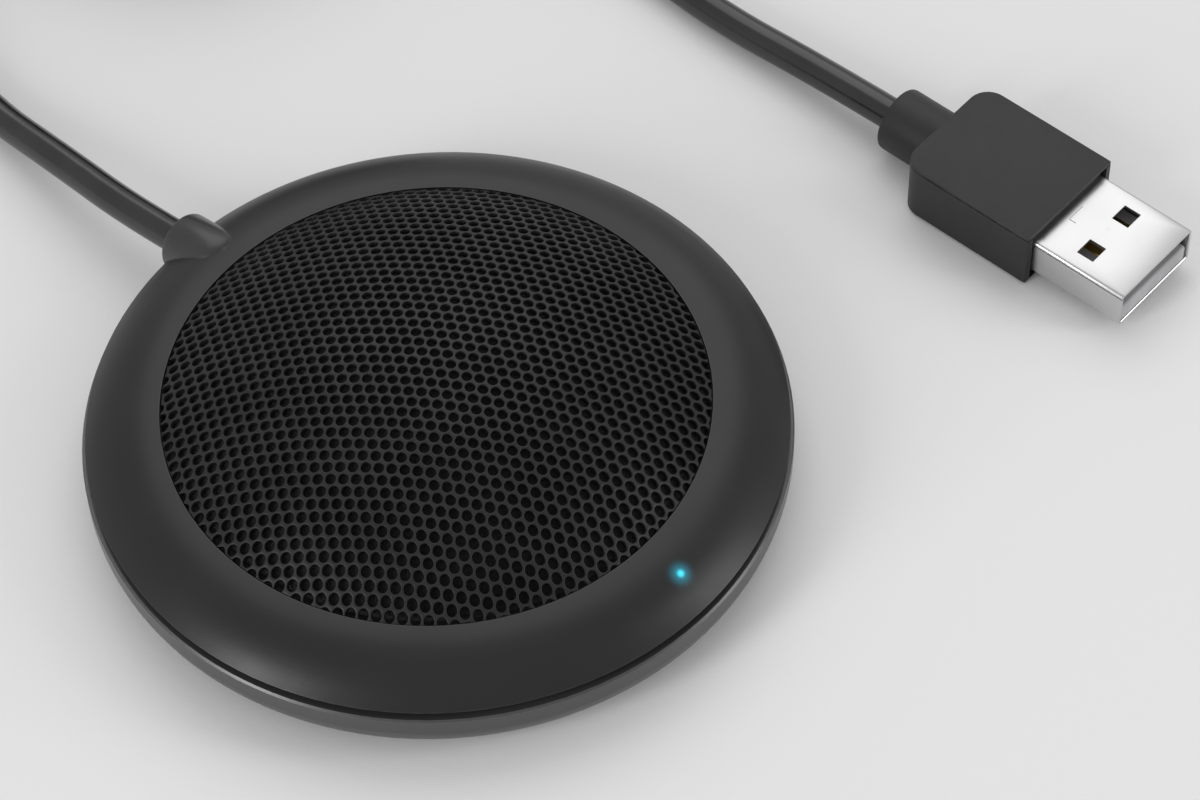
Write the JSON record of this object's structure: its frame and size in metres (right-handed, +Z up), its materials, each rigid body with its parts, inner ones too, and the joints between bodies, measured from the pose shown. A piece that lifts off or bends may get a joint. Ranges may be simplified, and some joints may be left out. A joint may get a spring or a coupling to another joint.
{
  "type": "conference speakerphone",
  "caption": "Round desk speakerphone with a domed perforated grille in a black ring, a status light, and a USB cord with its plug.",
  "frame": {"origin": "centre of the face of the rubber foot that it rests on", "axes": "+Z up, +Y the way the cord leaves the housing, the status light on the -Y side"},
  "size_m": [0.1194, 0.1568, 0.0193],
  "materials": {
    "housing_black": "satin",
    "grille_black": "satin",
    "cloth_black": "woven",
    "frame_plastic": "matt",
    "foot_rubber": "matt",
    "light_pipe": "lit",
    "relief_rubber": "satin",
    "zinc_steel": "zinc plated",
    "magnet_nickel": "nickel plated",
    "cone_paper": "pulp",
    "spider_cloth": "woven",
    "surround_rubber": "satin",
    "coil_copper": "enamelled copper wire",
    "board_green": "solder mask",
    "chip_black": "moulded",
    "can_metal": "satin",
    "ceramic": "ceramic",
    "led_white": "moulded",
    "wire_insulation": "extruded",
    "cord_jacket": "extruded PVC",
    "tie_strap": "moulded",
    "plug_mould": "moulded",
    "plug_nickel": "nickel plated",
    "tongue_grey": "moulded",
    "contact_gold": "gold plated"
  },
  "bodies": {
    "housing": {"top_ring": "housing_black", "base_shell": "housing_black", "grille": "grille_black", "acoustic_cloth": "cloth_black", "speaker_frame": "frame_plastic", "speaker_terminals": "frame_plastic", "wire_header": "frame_plastic", "foot_pad": "foot_rubber", "mic_boots": "foot_rubber", "led_lens": "light_pipe", "strain_relief": "relief_rubber", "housing_screws": "zinc_steel", "board_screws": "zinc_steel", "ballast_plate": "zinc_steel", "speaker_yoke": "zinc_steel", "speaker_top_plate": "zinc_steel", "speaker_basket": "zinc_steel", "speaker_magnet": "magnet_nickel", "speaker_spider": "spider_cloth", "cone_surround": "surround_rubber", "main_board": "board_green", "usb_audio_chip": "chip_black", "amplifier_chip": "chip_black", "crystal": "can_metal", "capacitors": "can_metal", "mic_capsules": "can_metal", "small_parts": "ceramic", "status_led": "led_white", "usb_wires": "wire_insulation", "speaker_leads": "wire_insulation", "cord_lead": "cord_jacket", "cord_coil": "cord_jacket", "cord_tail": "cord_jacket", "coil_tie": "tie_strap", "plug_overmould": "plug_mould", "plug_shell": "plug_nickel", "plug_tongue": "tongue_grey", "plug_contacts": "contact_gold"},
    "diaphragm": {"speaker_cone": "cone_paper", "dust_cap": "cone_paper", "voice_coil": "coil_copper"}
  },
  "joints": [
    {"name": "cone_travel", "type": "slide", "parent": "housing", "child": "diaphragm", "axis": [0, 0, 1], "range_m": [-0.0006, 0.0006], "stiffness_N_per_m": 1500, "deforming": ["cone_surround", "speaker_spider"]}
  ]
}
